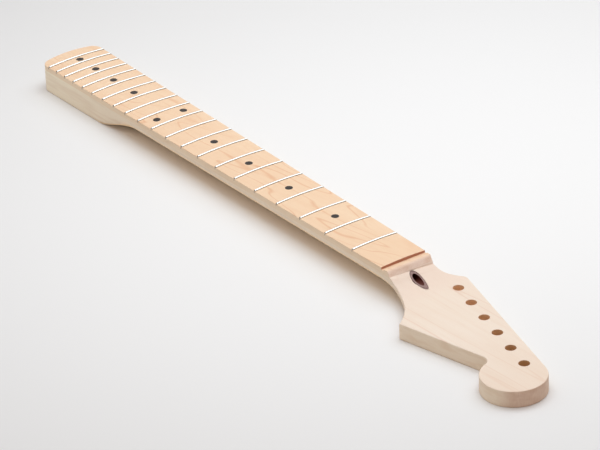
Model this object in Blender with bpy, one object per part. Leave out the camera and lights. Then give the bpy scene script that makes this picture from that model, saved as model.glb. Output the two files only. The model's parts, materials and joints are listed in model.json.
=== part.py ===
# A bolt-on electric guitar neck with a glued fingerboard, frets, inlays and a dual-action truss rod.
# Metres, +Z up. The origin is the centre of the heel's mounting face, +X runs to the headstock,
# and +Y is the bass side. The neck lies on its heel face and on the back of its headstock.

from math import acos, asin, cos, pi, radians, sin, sqrt, tan

import bmesh
import bpy
from mathutils import Matrix, Vector

MM = 0.001

# Scale and frets
SCALE_LENGTH = 647.7 * MM
FRET_COUNT = 21
CROWN_WIDTH = 2.1 * MM
CROWN_HEIGHT = 1.0 * MM
CROWN_SHOULDER = 0.25 * MM
TANG_WIDTH = 0.5 * MM
TANG_DEPTH = 1.6 * MM
FRET_END_INSET = 0.25 * MM
FRET_END_BEVEL = radians(30)

# Fingerboard
NUT_WIDTH = 42.0 * MM
LAST_FRET_WIDTH = 55.7 * MM
BOARD_RADIUS = 304.8 * MM
BOARD_THICKNESS = 5.5 * MM
NUT_SLOT_WIDTH = 3.3 * MM
NUT_SLOT_DEPTH = 2.5 * MM
NUT_STRIP_WIDTH = 3.3 * MM
NUT_STRIP_HEIGHT = 23.7 * MM
BOARD_END_LEAN = radians(30)

# Heights above the plane that the heel and the headstock lie on
NECK_HEIGHT = 25.0 * MM
HEAD_THICKNESS = 13.5 * MM
FIRST_FRET_THICKNESS = 20.6 * MM
TWELFTH_FRET_THICKNESS = 21.8 * MM
BACK_EXPONENT = 1.88

# Heel
HEEL_PAST_LAST_FRET = 13.6 * MM
HEEL_SCREWS_FROM_END = 40.6 * MM
HEEL_END_RADIUS = 120.0 * MM
HEEL_CORNER_RADIUS = 8.0 * MM
HEEL_FLAT_LENGTH = 83.7 * MM
HEEL_BLEND_LENGTH = 50.0 * MM
SCREW_SPACING_LONG = 50.8 * MM
SCREW_SPACING_WIDE = 38.1 * MM
SCREW_PILOT_DIAMETER = 3.2 * MM
SCREW_PILOT_DEPTH = 14.0 * MM

# Headstock, measured from the nut end of the scale, with y from the centre line
RAMP_FOOT_HEIGHT = 19.0 * MM
RAMP_RUN = 25.0 * MM
RAMP_TILT = 0.06
BASS_FOOT_PAST_RAMP_START = 0.9 * MM
BASS_BACK_RAMP = (-4.0 * MM, 36.0 * MM)
TREBLE_BACK_RAMP = (-10.0 * MM, 63.0 * MM)
TREBLE_FLARE_START = 6.5 * MM
TREBLE_FLARE_RADIUS = 65.0 * MM
TREBLE_EDGE_AT = (62.8 * MM, -50.7 * MM)
TREBLE_EDGE_ANGLE = radians(13.3)
TREBLE_FILLET_RADIUS = 7.5 * MM
BASS_FLARE_AT = 21.6 * MM
BASS_FLARE_ANGLE = radians(35.8)
BASS_FLARE_RADIUS = 24.0 * MM
BASS_TIP_RADIUS = 4.0 * MM
HEAD_END_RADIUS = 25.4 * MM
HEAD_END_CENTRE = 171.8 * MM

# Tuner holes
TUNER_COUNT = 6
TUNER_DIAMETER = 8.75 * MM
TUNER_SPACING = 24.5 * MM
TUNER_LINE_ANGLE = radians(15.2)
FIRST_TUNER_AT = (46.9 * MM, 16.4 * MM)
TUNER_TO_BASS_EDGE = 12.5 * MM

# Inlays
FACE_DOT_DIAMETER = 6.35 * MM
FACE_DOT_DEPTH = 1.6 * MM
TWIN_DOT_SPACING = 26.4 * MM
SIDE_DOT_DIAMETER = 2.0 * MM
SIDE_DOT_DEPTH = 2.6 * MM
SIDE_DOT_ABOVE_GLUE = 2.2 * MM
SINGLE_DOT_FRETS = (3, 5, 7, 9, 15, 17, 19, 21)
TWIN_DOT_FRET = 12

# Truss rod
ROD_DIAMETER = 5.0 * MM
ROD_AXIS_HEIGHT = 12.5 * MM
BAR_WIDTH = 6.0 * MM
BAR_THICKNESS = 3.0 * MM
BLOCK_LENGTH = 12.0 * MM
ROD_HEEL_END = 22.0 * MM
ADJUSTER_DIAMETER = 7.0 * MM
ADJUSTER_LENGTH = 14.0 * MM
ADJUSTER_FACE_AT = 2.0 * MM
ADJUSTER_HEX_ACROSS = 4.0 * MM
ADJUSTER_HEX_DEPTH = 7.0 * MM
PLUG_DIAMETER = 8.8 * MM
PLUG_BORE = 5.7 * MM
PLUG_ANGLE = radians(9.8)
PLUG_TURN = radians(-4.5)
PLUG_LENGTH = 36.0 * MM
PLUG_FROM_ADJUSTER = 1.1 * MM
BLOCK_SEAT_GAP = 0.1 * MM

# Clearances and smoothness
FIT_GAP = 0.3 * MM
INLAY_SINK = 0.05 * MM
CUT_OVERRUN = 5.0 * MM
SECTION_SPACING = 0.2 * MM
ROUND_SIDES = 32
DOT_SIDES = 24
SMALL_SIDES = 12
BOARD_STEPS = 10
BACK_STEPS = 30
BACK_WALL_STEPS = 6
CROWN_STEPS = 6
FRET_STEPS = 8
HEEL_END_STEPS = 8
HEEL_CORNER_STEPS = 5
HEEL_BLEND_STEPS = 10
SHAFT_STEPS = 8
NUT_STEPS = 5
RAMP_STEPS = 8
BASS_TIP_STEPS = 6
TREBLE_FLARE_STEPS = 10
FILLET_STEPS = 8
HEAD_END_STEPS = 24
HEAD_END_FLAT = radians(4)

# Places that follow from the sizes above
LAST_FRET_FROM_NUT = SCALE_LENGTH * (1 - 2 ** (-FRET_COUNT / 12))
NUT_X = LAST_FRET_FROM_NUT + HEEL_PAST_LAST_FRET - HEEL_SCREWS_FROM_END
HEEL_X = -HEEL_SCREWS_FROM_END
GLUE_HEIGHT = NECK_HEIGHT - BOARD_THICKNESS
HEEL_FLAT_END = HEEL_X + HEEL_FLAT_LENGTH
HEEL_BLEND_END = HEEL_FLAT_END + HEEL_BLEND_LENGTH
BOARD_END_TOP = NUT_X + NUT_SLOT_WIDTH + NUT_STRIP_WIDTH
CHANNEL_WIDTH = BAR_WIDTH + 2 * FIT_GAP
CHANNEL_FLOOR = ROD_AXIS_HEIGHT - ROD_DIAMETER / 2 - FIT_GAP
BAR_BOTTOM = ROD_AXIS_HEIGHT + ROD_DIAMETER / 2 + FIT_GAP
ADJUSTER_FACE = NUT_X + ADJUSTER_FACE_AT
ADJUSTER_BACK = ADJUSTER_FACE - ADJUSTER_LENGTH
ROD_END = ADJUSTER_BACK - FIT_GAP
CHANNEL_END = ROD_END


def fret_x(number):
    """Distance along the neck of a fret's centre line."""
    return NUT_X - SCALE_LENGTH * (1 - 2 ** (-number / 12))


def dot_x(number):
    """Middle of the space between a fret and the one below it."""
    return (fret_x(number) + fret_x(number - 1)) / 2


def taper(x):
    """Half the width of the fingerboard and of the neck under it."""
    slope = (LAST_FRET_WIDTH - NUT_WIDTH) / LAST_FRET_FROM_NUT
    return (NUT_WIDTH + slope * (NUT_X - x)) / 2


def heel_half_width(x):
    """The taper, closed at the heel by a shallow arc with rounded corners."""
    side = taper(HEEL_X)
    inner = side - HEEL_CORNER_RADIUS
    reach = HEEL_END_RADIUS - HEEL_CORNER_RADIUS
    corner_x = HEEL_X + HEEL_END_RADIUS - sqrt(reach ** 2 - inner ** 2)
    turn = asin(inner / reach)
    tangent_x = HEEL_X + HEEL_END_RADIUS * (1 - cos(turn))
    if x >= corner_x:
        return taper(x)
    if x >= tangent_x:
        return inner + sqrt(max(0.0, HEEL_CORNER_RADIUS ** 2 - (x - corner_x) ** 2))
    return sqrt(max(0.0, HEEL_END_RADIUS ** 2 - (HEEL_X + HEEL_END_RADIUS - x) ** 2))


def heel_stations():
    """Sections along the rounded end of the heel, from its end to its straight sides."""
    side = taper(HEEL_X)
    inner = side - HEEL_CORNER_RADIUS
    reach = HEEL_END_RADIUS - HEEL_CORNER_RADIUS
    corner_x = HEEL_X + HEEL_END_RADIUS - sqrt(reach ** 2 - inner ** 2)
    turn = asin(inner / reach)
    places = []
    for step in range(1, HEEL_END_STEPS + 1):
        places.append(HEEL_X + HEEL_END_RADIUS * (1 - cos(turn * step / HEEL_END_STEPS)))
    for step in range(1, HEEL_CORNER_STEPS + 1):
        angle = turn + (pi / 2 - turn) * step / HEEL_CORNER_STEPS
        places.append(corner_x - HEEL_CORNER_RADIUS * cos(angle))
    return places


def spread(first, last, count):
    return [first + (last - first) * step / count for step in range(count + 1)]


def smooth_step(value):
    value = min(1.0, max(0.0, value))
    return value * value * (3 - 2 * value)


def board_height(y):
    """Top of the fingerboard at a distance from the centre line."""
    return NECK_HEIGHT - BOARD_RADIUS + sqrt(BOARD_RADIUS ** 2 - y ** 2)


# Headstock outline: straight edges joined by arcs, each solved from the sizes above
HEAD_START = NUT_X + TREBLE_FLARE_START
SIDE_AT_HEAD = taper(HEAD_START)
FLARE_CENTRE_Y = -SIDE_AT_HEAD - TREBLE_FLARE_RADIUS
TREBLE_SLOPE = tan(TREBLE_EDGE_ANGLE)
BASS_SLOPE = -tan(TUNER_LINE_ANGLE)
BASS_LINE_Y = (
    FIRST_TUNER_AT[1]
    - BASS_SLOPE * FIRST_TUNER_AT[0]
    + TUNER_TO_BASS_EDGE / cos(TUNER_LINE_ANGLE)
)
END_CENTRE_X = NUT_X + HEAD_END_CENTRE
END_CENTRE_Y = BASS_LINE_Y + BASS_SLOPE * HEAD_END_CENTRE - HEAD_END_RADIUS / cos(TUNER_LINE_ANGLE)


def treble_line(x):
    return TREBLE_EDGE_AT[1] + TREBLE_SLOPE * (x - NUT_X - TREBLE_EDGE_AT[0])


def bass_line(x):
    return BASS_LINE_Y + BASS_SLOPE * (x - NUT_X)


def treble_corner():
    """Where the flare's arc meets the straight treble edge."""
    rise = treble_line(HEAD_START) - FLARE_CENTRE_Y
    a = 1 + TREBLE_SLOPE ** 2
    b = 2 * TREBLE_SLOPE * rise
    c = rise ** 2 - TREBLE_FLARE_RADIUS ** 2
    return HEAD_START + (-b + sqrt(b * b - 4 * a * c)) / (2 * a)


def treble_fillet():
    """Centre of the arc between the treble edge and the round end, and where it touches each."""
    along = Vector((cos(TREBLE_EDGE_ANGLE), sin(TREBLE_EDGE_ANGLE)))
    out = Vector((sin(TREBLE_EDGE_ANGLE), -cos(TREBLE_EDGE_ANGLE)))
    start = Vector((NUT_X + TREBLE_EDGE_AT[0], TREBLE_EDGE_AT[1]))
    end = Vector((END_CENTRE_X, END_CENTRE_Y)) - start
    reach = HEAD_END_RADIUS + TREBLE_FILLET_RADIUS
    away = TREBLE_FILLET_RADIUS - end.dot(out)
    run = end.dot(along) - sqrt(reach ** 2 - away ** 2)
    touch = start + along * run
    centre = touch + out * TREBLE_FILLET_RADIUS
    contact = centre + (start + end - centre) * TREBLE_FILLET_RADIUS / reach
    return centre, touch.x, contact.x


def bass_corners():
    """Start and end of the concave arc, then start and end of the small round tip."""
    flare_x = NUT_X + BASS_FLARE_AT
    side = taper(flare_x)
    rise = tan(BASS_FLARE_ANGLE)
    tip_x = (BASS_LINE_Y - BASS_SLOPE * NUT_X - side + rise * flare_x) / (rise - BASS_SLOPE)
    length = BASS_FLARE_RADIUS * tan(BASS_FLARE_ANGLE / 2)
    turn = BASS_FLARE_ANGLE + TUNER_LINE_ANGLE
    tip_length = BASS_TIP_RADIUS * tan(turn / 2)
    return (
        flare_x - length,
        flare_x + length * cos(BASS_FLARE_ANGLE),
        tip_x - tip_length * cos(BASS_FLARE_ANGLE),
        tip_x + tip_length * cos(TUNER_LINE_ANGLE),
    )


TREBLE_CORNER = treble_corner()
FILLET_CENTRE, FILLET_START, FILLET_END = treble_fillet()
BASS_FLARE_FROM, BASS_FLARE_TO, BASS_TIP_FROM, BASS_TIP_TO = bass_corners()
BASS_END = END_CENTRE_X + HEAD_END_RADIUS * sin(TUNER_LINE_ANGLE)


def treble_edge(x):
    if x <= HEAD_START:
        return -heel_half_width(x)
    if x <= TREBLE_CORNER:
        return FLARE_CENTRE_Y + sqrt(TREBLE_FLARE_RADIUS ** 2 - (x - HEAD_START) ** 2)
    if x <= FILLET_START:
        return treble_line(x)
    if x <= FILLET_END:
        return FILLET_CENTRE.y + sqrt(max(0.0, TREBLE_FILLET_RADIUS ** 2 - (x - FILLET_CENTRE.x) ** 2))
    return END_CENTRE_Y - sqrt(max(0.0, HEAD_END_RADIUS ** 2 - (x - END_CENTRE_X) ** 2))


def bass_edge(x):
    if x <= HEAD_START:
        return heel_half_width(x)
    if x <= BASS_FLARE_FROM:
        return SIDE_AT_HEAD
    if x <= BASS_FLARE_TO:
        rise = BASS_FLARE_RADIUS - sqrt(BASS_FLARE_RADIUS ** 2 - (x - BASS_FLARE_FROM) ** 2)
        return SIDE_AT_HEAD + rise
    if x <= BASS_TIP_FROM:
        return bass_edge(BASS_FLARE_TO) + tan(BASS_FLARE_ANGLE) * (x - BASS_FLARE_TO)
    if x <= BASS_TIP_TO:
        centre_x = BASS_TIP_TO - BASS_TIP_RADIUS * sin(TUNER_LINE_ANGLE)
        centre_y = bass_line(BASS_TIP_TO) - BASS_TIP_RADIUS * cos(TUNER_LINE_ANGLE)
        return centre_y + sqrt(max(0.0, BASS_TIP_RADIUS ** 2 - (x - centre_x) ** 2))
    if x <= BASS_END:
        return bass_line(x)
    return END_CENTRE_Y + sqrt(max(0.0, HEAD_END_RADIUS ** 2 - (x - END_CENTRE_X) ** 2))


# Heights of the neck's top and back along its length
RAMP_START = BOARD_END_TOP + (NECK_HEIGHT - RAMP_FOOT_HEIGHT) * tan(BOARD_END_LEAN)
RAMP_END = RAMP_START + RAMP_RUN
RAMP_DROP = RAMP_FOOT_HEIGHT - HEAD_THICKNESS
RAMP_RADIUS = (RAMP_RUN ** 2 + RAMP_DROP ** 2) / (2 * RAMP_DROP)
BOARD_END_FOOT = BOARD_END_TOP + BOARD_THICKNESS * tan(BOARD_END_LEAN)


def ramp_height(x, y):
    """Concave scoop from the end wall to the headstock's face, a little lower on the bass side."""
    if x >= RAMP_END:
        return HEAD_THICKNESS
    arc = RAMP_RADIUS - sqrt(RAMP_RADIUS ** 2 - (RAMP_END - max(x, RAMP_START)) ** 2)
    return HEAD_THICKNESS + arc - RAMP_TILT * y * arc / RAMP_DROP


def top_height(x, y):
    """The glue line, then the foot of the end wall, then the scoop."""
    wall = NECK_HEIGHT - (x - BOARD_END_TOP) / tan(BOARD_END_LEAN)
    return min(GLUE_HEIGHT, max(wall, ramp_height(x, y)))


def shaft_back(x):
    """Lowest line of the shaft's round back."""
    first = NECK_HEIGHT - FIRST_FRET_THICKNESS
    twelfth = NECK_HEIGHT - TWELFTH_FRET_THICKNESS
    return twelfth + (first - twelfth) * (x - fret_x(12)) / (fret_x(1) - fret_x(12))


def roundness(x, across):
    """0 where the section is square, 1 where it is round. The treble side stays round for longer."""
    start = NUT_X + BASS_BACK_RAMP[0] + (TREBLE_BACK_RAMP[0] - BASS_BACK_RAMP[0]) * across
    end = NUT_X + BASS_BACK_RAMP[1] + (TREBLE_BACK_RAMP[1] - BASS_BACK_RAMP[1]) * across
    heel = smooth_step((x - HEEL_FLAT_END) / (HEEL_BLEND_END - HEEL_FLAT_END))
    return min(heel, smooth_step((end - x) / (end - start)))


def neck_section(x):
    """A closed ring across the neck: bass top edge, round the back, treble top edge."""
    bass = bass_edge(x)
    treble = treble_edge(x)
    bass_top = top_height(x, bass)
    treble_top = top_height(x, treble)
    ring = []
    for step in range(BACK_STEPS + 1):
        angle = pi * step / BACK_STEPS
        blend = roundness(x, smooth_step(step / BACK_STEPS))
        top = bass_top + (treble_top - bass_top) * step / BACK_STEPS
        back = shaft_back(x) * blend
        side = bass if step < BACK_STEPS / 2 else treble
        across = abs(cos(angle)) ** (2 / BACK_EXPONENT) * abs(side) * (1 if side > 0 else -1)
        down = top - (top - back) * abs(sin(angle)) ** (2 / BACK_EXPONENT)
        if step <= BACK_WALL_STEPS:
            flat_y = bass
            flat_z = top + (back - top) * step / BACK_WALL_STEPS
        elif step >= BACK_STEPS - BACK_WALL_STEPS:
            flat_y = treble
            flat_z = top + (back - top) * (BACK_STEPS - step) / BACK_WALL_STEPS
        else:
            share = (step - BACK_WALL_STEPS) / (BACK_STEPS - 2 * BACK_WALL_STEPS)
            flat_y = bass + (treble - bass) * share
            flat_z = back
        y = flat_y + (across - flat_y) * blend
        z = flat_z + (down - flat_z) * blend
        ring.append(Vector((x, y, z)))
    return ring


def arc_stations(centre, radius, first, last, count):
    """Sections spaced evenly round an arc, between two places along the neck."""
    start = acos(max(-1.0, min(1.0, (first - centre) / radius)))
    end = acos(max(-1.0, min(1.0, (last - centre) / radius)))
    return [centre + radius * cos(start + (end - start) * i / count) for i in range(count + 1)]


def neck_stations():
    bass_tip_x = BASS_TIP_TO - BASS_TIP_RADIUS * sin(TUNER_LINE_ANGLE)
    head_tip = END_CENTRE_X + HEAD_END_RADIUS * cos(HEAD_END_FLAT)
    places = heel_stations() + [0.0]
    places += spread(HEEL_FLAT_END, HEEL_BLEND_END, HEEL_BLEND_STEPS)
    places += spread(HEEL_BLEND_END, NUT_X + BASS_BACK_RAMP[0], SHAFT_STEPS)
    places += spread(NUT_X + BASS_BACK_RAMP[0], HEAD_START, NUT_STEPS)
    places += [BOARD_END_FOOT, RAMP_START + BASS_FOOT_PAST_RAMP_START]
    places += spread(RAMP_START, RAMP_END, RAMP_STEPS)
    places += arc_stations(bass_tip_x, BASS_TIP_RADIUS, BASS_TIP_FROM, BASS_TIP_TO, BASS_TIP_STEPS)
    places += spread(BASS_TIP_TO, TREBLE_CORNER, TREBLE_FLARE_STEPS)
    places += arc_stations(FILLET_CENTRE.x, TREBLE_FILLET_RADIUS, FILLET_START, FILLET_END, FILLET_STEPS)
    places += arc_stations(END_CENTRE_X, HEAD_END_RADIUS, FILLET_END, head_tip, HEAD_END_STEPS)
    places.sort()
    kept = [places[0]]
    for place in places[1:]:
        if place - kept[-1] > SECTION_SPACING:
            kept.append(place)
    return kept


# Making of objects
def clear_scene():
    for item in list(bpy.data.objects):
        bpy.data.objects.remove(item, do_unlink=True)


def collection(name):
    made = bpy.data.collections.new(name)
    bpy.context.scene.collection.children.link(made)
    return made


def finish(name, colour, roughness, metallic=0.0):
    """A Principled material."""
    material = bpy.data.materials.new(name)
    material.use_nodes = True
    shader = material.node_tree.nodes["Principled BSDF"]
    shader.inputs["Base Color"].default_value = (*colour, 1.0)
    shader.inputs["Roughness"].default_value = roughness
    shader.inputs["Metallic"].default_value = metallic
    material.diffuse_color = (*colour, 1.0)
    return material


def object_from(name, bm, where, material=None):
    mesh = bpy.data.meshes.new(name)
    bmesh.ops.recalc_face_normals(bm, faces=bm.faces[:])
    bm.to_mesh(mesh)
    bm.free()
    made = bpy.data.objects.new(name, mesh)
    where.objects.link(made)
    if material:
        mesh.materials.append(material)
    if where is CUTTERS:
        made.hide_render = True
        made.display_type = "WIRE"
    return made


def loft(name, rings, where, material=None, fan_caps=True):
    """Skins a row of closed rings that have the same number of points, and caps both ends."""
    bm = bmesh.new()
    rows = [[bm.verts.new(point) for point in ring] for ring in rings]
    for near, far in zip(rows, rows[1:]):
        for i in range(len(near)):
            j = (i + 1) % len(near)
            bm.faces.new((near[i], far[i], far[j], near[j]))
    caps = [bm.faces.new(rows[0]), bm.faces.new(rows[-1])]
    if fan_caps:
        bmesh.ops.poke(bm, faces=caps)
    bmesh.ops.triangulate(bm, faces=bm.faces[:])
    return object_from(name, bm, where, material)


def box_into(bm, low, high):
    size = Vector(high) - Vector(low)
    place = Matrix.Translation((Vector(high) + Vector(low)) / 2) @ Matrix.Diagonal((*size, 1.0))
    bmesh.ops.create_cube(bm, size=1.0, matrix=place)


def rod_into(bm, start, end, radius, sides):
    """A cylinder between two points."""
    axis = Vector(end) - Vector(start)
    turn = axis.to_track_quat("Z", "Y").to_matrix().to_4x4()
    place = Matrix.Translation((Vector(start) + Vector(end)) / 2) @ turn
    bmesh.ops.create_cone(bm, cap_ends=True, segments=sides, radius1=radius, radius2=radius,
                          depth=axis.length, matrix=place)


def boolean(target, cutter, operation="DIFFERENCE"):
    modifier = target.modifiers.new(cutter.name, "BOOLEAN")
    modifier.operation = operation
    modifier.solver = "EXACT"
    modifier.object = cutter


# Neck
def truss_axis(distance):
    """A point on the slanted access bore's axis, at a distance past the adjuster's face."""
    level = distance * cos(PLUG_ANGLE)
    return Vector((ADJUSTER_FACE + level * cos(PLUG_TURN), level * sin(PLUG_TURN),
                   ROD_AXIS_HEIGHT + distance * sin(PLUG_ANGLE)))


def make_neck(material):
    neck = loft("neck", [neck_section(x) for x in neck_stations()], PARTS, material)

    bm = bmesh.new()
    box_into(bm, (ROD_HEEL_END - FIT_GAP, -CHANNEL_WIDTH / 2, CHANNEL_FLOOR),
             (CHANNEL_END, CHANNEL_WIDTH / 2, GLUE_HEIGHT + CUT_OVERRUN))
    boolean(neck, object_from("rod_channel_cutter", bm, CUTTERS))

    bm = bmesh.new()
    axis_start = (CHANNEL_END - FIT_GAP, 0, ROD_AXIS_HEIGHT)
    rod_into(bm, axis_start, (ADJUSTER_FACE + FIT_GAP, 0, ROD_AXIS_HEIGHT),
             ADJUSTER_DIAMETER / 2 + FIT_GAP, ROUND_SIDES)
    boolean(neck, object_from("adjuster_pocket_cutter", bm, CUTTERS))

    bm = bmesh.new()
    rod_into(bm, truss_axis(0.0), truss_axis(PLUG_LENGTH + CUT_OVERRUN),
             PLUG_DIAMETER / 2 + FIT_GAP, ROUND_SIDES)
    boolean(neck, object_from("access_bore_cutter", bm, CUTTERS))

    bm = bmesh.new()
    for x, y in tuner_places():
        rod_into(bm, (x, y, -CUT_OVERRUN), (x, y, HEAD_THICKNESS + CUT_OVERRUN),
                 TUNER_DIAMETER / 2, ROUND_SIDES)
    for x in (-SCREW_SPACING_LONG / 2, SCREW_SPACING_LONG / 2):
        for y in (-SCREW_SPACING_WIDE / 2, SCREW_SPACING_WIDE / 2):
            rod_into(bm, (x, y, -CUT_OVERRUN), (x, y, SCREW_PILOT_DEPTH),
                     SCREW_PILOT_DIAMETER / 2, SMALL_SIDES)
    boolean(neck, object_from("hole_cutter", bm, CUTTERS))
    return neck


def tuner_places():
    places = []
    for number in range(TUNER_COUNT):
        x = NUT_X + FIRST_TUNER_AT[0] + number * TUNER_SPACING * cos(TUNER_LINE_ANGLE)
        y = FIRST_TUNER_AT[1] - number * TUNER_SPACING * sin(TUNER_LINE_ANGLE)
        places.append((x, y))
    return places


# Fingerboard
def board_section(x, end_wall=False):
    """A closed ring across the fingerboard: flat underneath, with the radius on top."""
    half = heel_half_width(x) if x <= NUT_X else taper(x)
    bottom = GLUE_HEIGHT + FIT_GAP
    points = [(half, bottom)]
    for step in range(BOARD_STEPS + 1):
        y = half * (1 - 2 * step / BOARD_STEPS)
        points.append((y, board_height(y)))
    points.append((-half, bottom))
    lean = tan(BOARD_END_LEAN) if end_wall else 0.0
    return [Vector((x + (NECK_HEIGHT - z) * lean, y, z)) for y, z in points]


def make_board(material):
    stations = heel_stations() + [fret_x(12), NUT_X]
    rings = [board_section(x) for x in stations]
    rings.append(board_section(BOARD_END_TOP, end_wall=True))
    board = loft("fingerboard", rings, PARTS, material)

    bm = bmesh.new()
    slot_half = TANG_WIDTH / 2 + FIT_GAP
    reach = LAST_FRET_WIDTH
    ceiling = NECK_HEIGHT + CUT_OVERRUN
    for number in range(1, FRET_COUNT + 1):
        x = fret_x(number)
        edge = board_height(taper(x))
        slot_floor = edge - TANG_DEPTH - FIT_GAP
        box_into(bm, (x - slot_half, -reach, slot_floor), (x + slot_half, reach, ceiling))
    box_into(bm, (NUT_X, -reach, NECK_HEIGHT - NUT_SLOT_DEPTH), (NUT_X + NUT_SLOT_WIDTH, reach, ceiling))
    boolean(board, object_from("slot_cutter", bm, CUTTERS))

    bm = bmesh.new()
    box_into(bm, (NUT_X + NUT_SLOT_WIDTH / 2, -reach, NUT_STRIP_HEIGHT), (RAMP_END, reach, ceiling))
    boolean(board, object_from("strip_cutter", bm, CUTTERS))

    bm = bmesh.new()
    for _, x, y in face_dots():
        top, down = dot_frame(x, y)
        rod_into(bm, top - down * CUT_OVERRUN, top + down * (FACE_DOT_DEPTH + FIT_GAP),
                 FACE_DOT_DIAMETER / 2 + FIT_GAP, DOT_SIDES)
    for _, x, y in side_dots():
        z = GLUE_HEIGHT + SIDE_DOT_ABOVE_GLUE
        rod_into(bm, (x, y - SIDE_DOT_DEPTH - FIT_GAP, z), (x, y + CUT_OVERRUN, z),
                 SIDE_DOT_DIAMETER / 2 + FIT_GAP, SMALL_SIDES)
    boolean(board, object_from("dot_cutter", bm, CUTTERS))
    return board


# Frets
def fret_profile():
    """Across a fret: (along the neck, above the board's face). A low crown over a thin tang."""
    half = CROWN_WIDTH / 2
    tang = TANG_WIDTH / 2
    points = [(-tang, -TANG_DEPTH), (-tang, FIT_GAP), (-half, FIT_GAP)]
    shoulder = FIT_GAP + CROWN_SHOULDER
    for step in range(1, CROWN_STEPS):
        angle = pi * (1 - step / CROWN_STEPS)
        points.append((half * cos(angle), shoulder + (CROWN_HEIGHT - shoulder) * sin(angle)))
    points += [(half, FIT_GAP), (tang, FIT_GAP), (tang, -TANG_DEPTH)]
    return points


def make_fret(number, material):
    """Swept across the board along its radius, with its ends leaning in over the edges."""
    x = fret_x(number)
    half = taper(x) - FRET_END_INSET
    rings = []
    for step in range(FRET_STEPS + 1):
        share = 1 - 2 * step / FRET_STEPS
        ring = []
        for along, above in fret_profile():
            y = share * half
            if step in (0, FRET_STEPS):
                y -= share * max(0.0, above) * tan(FRET_END_BEVEL)
            ring.append(Vector((x + along, y, board_height(y) + above)))
        rings.append(ring)
    return loft(f"fret_{number:02d}", rings, PARTS, material, fan_caps=False)


# Inlays
def face_dots():
    places = [(f"dot_{number:02d}", dot_x(number), 0.0) for number in SINGLE_DOT_FRETS]
    places.append((f"dot_{TWIN_DOT_FRET}_bass", dot_x(TWIN_DOT_FRET), TWIN_DOT_SPACING / 2))
    places.append((f"dot_{TWIN_DOT_FRET}_treble", dot_x(TWIN_DOT_FRET), -TWIN_DOT_SPACING / 2))
    return places


def side_dots():
    places = [(f"side_dot_{number:02d}", dot_x(number)) for number in SINGLE_DOT_FRETS]
    shift = FACE_DOT_DIAMETER / 2
    places.append((f"side_dot_{TWIN_DOT_FRET}_a", dot_x(TWIN_DOT_FRET) - shift))
    places.append((f"side_dot_{TWIN_DOT_FRET}_b", dot_x(TWIN_DOT_FRET) + shift))
    return [(name, x, taper(x)) for name, x in places]


def dot_frame(x, y):
    """A dot's centre on the board's face, and the direction into the wood."""
    tilt = asin(y / BOARD_RADIUS)
    return Vector((x, y, board_height(y))), Vector((0.0, -sin(tilt), -cos(tilt)))


def make_dots(material):
    for name, x, y in face_dots():
        bm = bmesh.new()
        top, down = dot_frame(x, y)
        rod_into(bm, top + down * INLAY_SINK, top + down * FACE_DOT_DEPTH, FACE_DOT_DIAMETER / 2, DOT_SIDES)
        object_from(name, bm, PARTS, material)
    for name, x, y in side_dots():
        bm = bmesh.new()
        z = GLUE_HEIGHT + SIDE_DOT_ABOVE_GLUE
        rod_into(bm, (x, y - SIDE_DOT_DEPTH, z), (x, y - INLAY_SINK, z), SIDE_DOT_DIAMETER / 2, SMALL_SIDES)
        object_from(name, bm, PARTS, material)


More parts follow.
